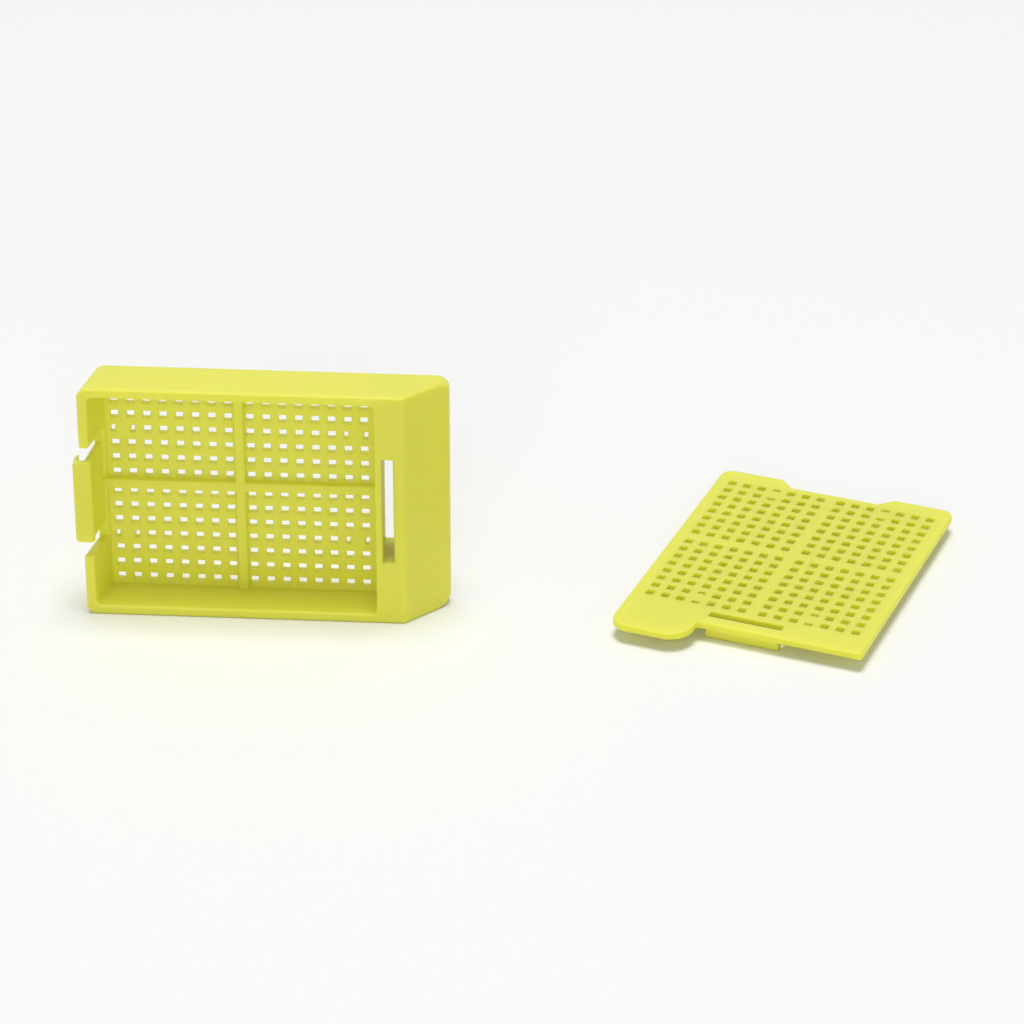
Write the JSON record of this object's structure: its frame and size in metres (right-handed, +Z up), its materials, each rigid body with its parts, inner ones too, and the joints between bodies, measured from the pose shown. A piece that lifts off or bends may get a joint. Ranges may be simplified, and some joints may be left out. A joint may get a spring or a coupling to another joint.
{
  "type": "tissue cassette",
  "caption": "Perforated tissue processing cassette: a shallow moulded base with a sloping writing face, standing on its long side, and its snap lid lying beside it.",
  "frame": {"origin": "middle of the long side of the base on which it stands: half-way along its length and half-way between rim and underside", "axes": "+X along the base from the latch end to the writing face, +Y from the open rim to the perforated underside, +Z up"},
  "size_m": [0.0987, 0.0421, 0.0285],
  "materials": {
    "base_acetal": "satin moulded acetal, pastel yellow",
    "lid_acetal": "satin moulded acetal, pastel yellow"
  },
  "bodies": {
    "root": {"base": "base_acetal", "lid": "lid_acetal"}
  },
  "joints": []
}
